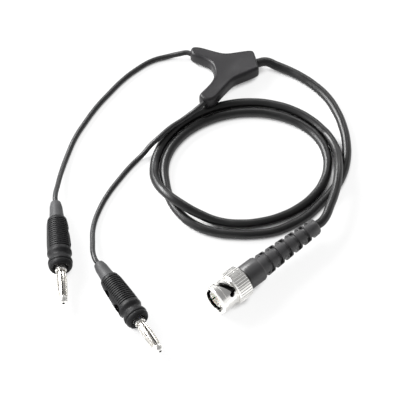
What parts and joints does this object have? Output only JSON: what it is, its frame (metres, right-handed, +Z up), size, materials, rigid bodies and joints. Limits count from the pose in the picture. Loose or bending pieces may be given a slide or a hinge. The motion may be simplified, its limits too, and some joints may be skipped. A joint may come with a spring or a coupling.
{
  "type": "bnc to banana adapter lead",
  "caption": "Coiled coaxial lead with a bayonet coaxial plug, splitting at a moulded Y junction into two leads with stackable banana plugs.",
  "frame": {"origin": "middle of the footprint of the plugs and the junction, on the surface they lie on", "axes": "+Z up from that surface, +Y from the banana plugs' tips towards the junction, +X towards the BNC plug's boot"},
  "size_m": [0.1277, 0.1569, 0.0146],
  "materials": {
    "nickel_shell": "bright nickel plating, knurled ring",
    "nickel_inner": "plain nickel plating",
    "nickel_contact": "bright nickel plating",
    "spring_contact": "thin sprung sheet, nickel plated",
    "spring_steel": "spring steel",
    "screw_steel": "zinc-plated steel",
    "gold_pin": "gold plating",
    "gasket_rubber": "soft silicone",
    "white_insulator": "satin fluoropolymer",
    "boot_rubber": "satin moulded rubber",
    "coax_jacket": "smooth satin cable jacket",
    "lead_insulation": "smooth satin silicone",
    "junction_plastic": "satin moulded plastic",
    "grip_plastic": "satin moulded plastic",
    "sleeve_plastic": "satin moulded plastic"
  },
  "bodies": {
    "lead_set": {"bnc_wave_spring": "spring_steel", "bnc_face_gasket": "gasket_rubber", "bnc_plug_body": "nickel_inner", "bnc_outer_contact": "nickel_contact", "bnc_front_insulator": "white_insulator", "bnc_rear_insulator": "white_insulator", "bnc_centre_pin": "gold_pin", "bnc_crimp_ferrule": "nickel_inner", "bnc_boot": "boot_rubber", "coax_plug_end": "coax_jacket", "coax_lead_in": "coax_jacket", "coax_coil": "coax_jacket", "coax_lead_out": "coax_jacket", "coax_junction_end": "coax_jacket", "junction_upper_shell": "junction_plastic", "junction_lower_shell": "junction_plastic", "signal_splice": "nickel_inner", "ground_splice": "nickel_inner", "signal_lead": "lead_insulation", "ground_lead": "lead_insulation", "signal_junction_end": "lead_insulation", "ground_junction_end": "lead_insulation", "signal_tail_sleeve": "sleeve_plastic", "signal_grip": "grip_plastic", "signal_contact_body": "nickel_contact", "signal_contact_cage": "spring_contact", "signal_clamp_screw": "screw_steel", "signal_lead_end": "lead_insulation", "ground_tail_sleeve": "sleeve_plastic", "ground_grip": "grip_plastic", "ground_contact_body": "nickel_contact", "ground_contact_cage": "spring_contact", "ground_clamp_screw": "screw_steel", "ground_lead_end": "lead_insulation"},
    "thrust_washer": {"bnc_thrust_washer": "nickel_inner"},
    "coupling_nut": {"bnc_coupling_nut": "nickel_shell", "bnc_retaining_ring": "nickel_inner"}
  },
  "joints": [
    {"name": "nut_slide", "type": "slide", "parent": "lead_set", "child": "thrust_washer", "axis": [-0.7431, -0.6691, 0], "range_m": [0, 0.001], "stiffness_N_per_m": 2500, "deforming": ["bnc_wave_spring"]},
    {"name": "nut_spin", "type": "hinge", "parent": "thrust_washer", "child": "coupling_nut", "pos_m": [0.01888, -0.04832, 0.00725], "axis": [-0.7431, -0.6691, 0], "continuous": true}
  ]
}
